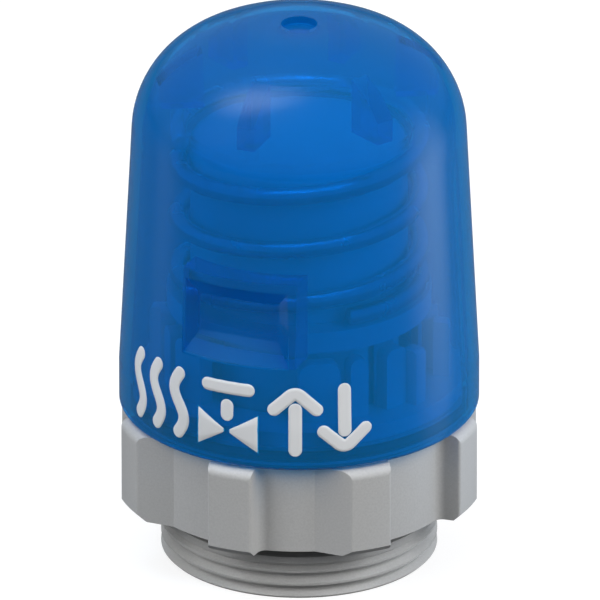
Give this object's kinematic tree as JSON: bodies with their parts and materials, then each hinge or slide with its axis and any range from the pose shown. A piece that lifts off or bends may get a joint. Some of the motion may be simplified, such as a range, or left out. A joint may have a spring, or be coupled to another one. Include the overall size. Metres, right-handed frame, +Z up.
{
  "type": "thermo-electric valve actuator head",
  "caption": "Domed actuator head for a heating valve: a blue see-through cap over a spring-loaded lifting sleeve, on a grey lobed screw ring with a male threaded sleeve.",
  "frame": {"origin": "centre of the bottom face of the threaded sleeve, on the axis of the valve stem", "axes": "+Z up along the valve stem towards the dome, -Y towards the window (front), +Y towards the cable inlet (rear), +X to the right seen from the front"},
  "size_m": [0.04, 0.04, 0.0613],
  "materials": {
    "clear_blue": "polished translucent blue",
    "clear_plastic": "clear natural",
    "grey_plastic": "fine moulded grey",
    "inner_plastic": "semi-gloss light grey",
    "white_plastic": "heat-resistant white",
    "black_rubber": "smooth",
    "grey_rubber": "smooth",
    "white_rubber": "silicone",
    "spring_steel": "drawn wire",
    "zinc_steel": "bright zinc",
    "brass": "machined",
    "contact_bronze": "stamped",
    "heater_ceramic": "sintered ceramic",
    "wax": "paraffin wax",
    "board_green": "solder mask"
  },
  "bodies": {
    "body": {"cap": "clear_blue", "cap_seal": "black_rubber", "base_housing": "grey_plastic", "retaining_ring": "spring_steel", "thrust_washer": "white_plastic", "carrier_frame": "inner_plastic", "spring_retainer": "clear_plastic", "main_spring": "spring_steel", "heater_holder": "white_plastic", "holder_screws": "zinc_steel", "insulating_disc": "white_rubber", "lower_contact": "contact_bronze", "ptc_heater": "heater_ceramic", "upper_contact": "contact_bronze", "wax_cartridge": "brass", "wax_filling": "wax", "diaphragm": "black_rubber", "piston_guide": "brass", "circuit_board": "board_green", "terminal_block": "white_plastic", "terminal_screws": "zinc_steel", "cable_gland": "grey_rubber"},
    "screw_ring": {"screw_ring": "grey_plastic"},
    "lift": {"lift_sleeve": "inner_plastic", "indicator_ring": "inner_plastic", "plunger_plate": "inner_plastic", "plunger_tip": "zinc_steel", "piston": "zinc_steel"}
  },
  "joints": [
    {"name": "ring_turn", "type": "hinge", "parent": "body", "child": "screw_ring", "pos_m": [0, 0, 0.008], "axis": [0, 0, 1], "continuous": true},
    {"name": "lift_slide", "type": "slide", "parent": "body", "child": "lift", "axis": [0, 0, 1], "range_m": [0, 0.004], "stiffness_N_per_m": 3200, "springref_m": -0.001, "deforming": ["main_spring"]}
  ]
}
